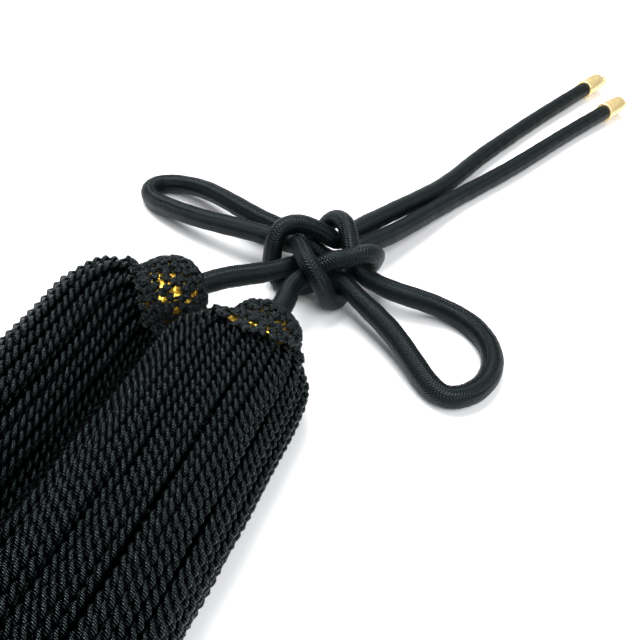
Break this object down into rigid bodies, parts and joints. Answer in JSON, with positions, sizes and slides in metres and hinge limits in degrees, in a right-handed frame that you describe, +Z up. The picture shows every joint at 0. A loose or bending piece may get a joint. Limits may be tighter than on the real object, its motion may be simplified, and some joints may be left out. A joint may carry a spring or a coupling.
{
  "type": "double tassel",
  "caption": "Pair of black net-headed yarn tassels lying on two braided cords tied in a flat two-loop knot, with brass cord ends and a small ring.",
  "frame": {"origin": "on the resting surface, under the middle of the box round the two tassels (heads and skirts, without the cords)", "axes": "+Z up from the resting surface; +Y from the tassel tips towards the heads; +X towards the knot's right loop and the brass cord ends"},
  "size_m": [0.2127, 0.3097, 0.0248],
  "materials": {
    "silk_strand": "soft sheen, twisted two-ply strands",
    "net_cord": "knotted net of fine black cord",
    "core_foil": "bright gold foil wrap",
    "cord_braid": "tight matte braid",
    "end_metal": "polished"
  },
  "bodies": {
    "root": {"skirt_front": "silk_strand", "skirt_rear": "silk_strand", "net_front": "net_cord", "net_rear": "net_cord", "core_front": "core_foil", "core_rear": "core_foil", "cord_left": "cord_braid", "cord_right": "cord_braid", "cord_end_left": "end_metal", "cord_end_right": "end_metal", "jump_ring": "end_metal"}
  },
  "joints": []
}
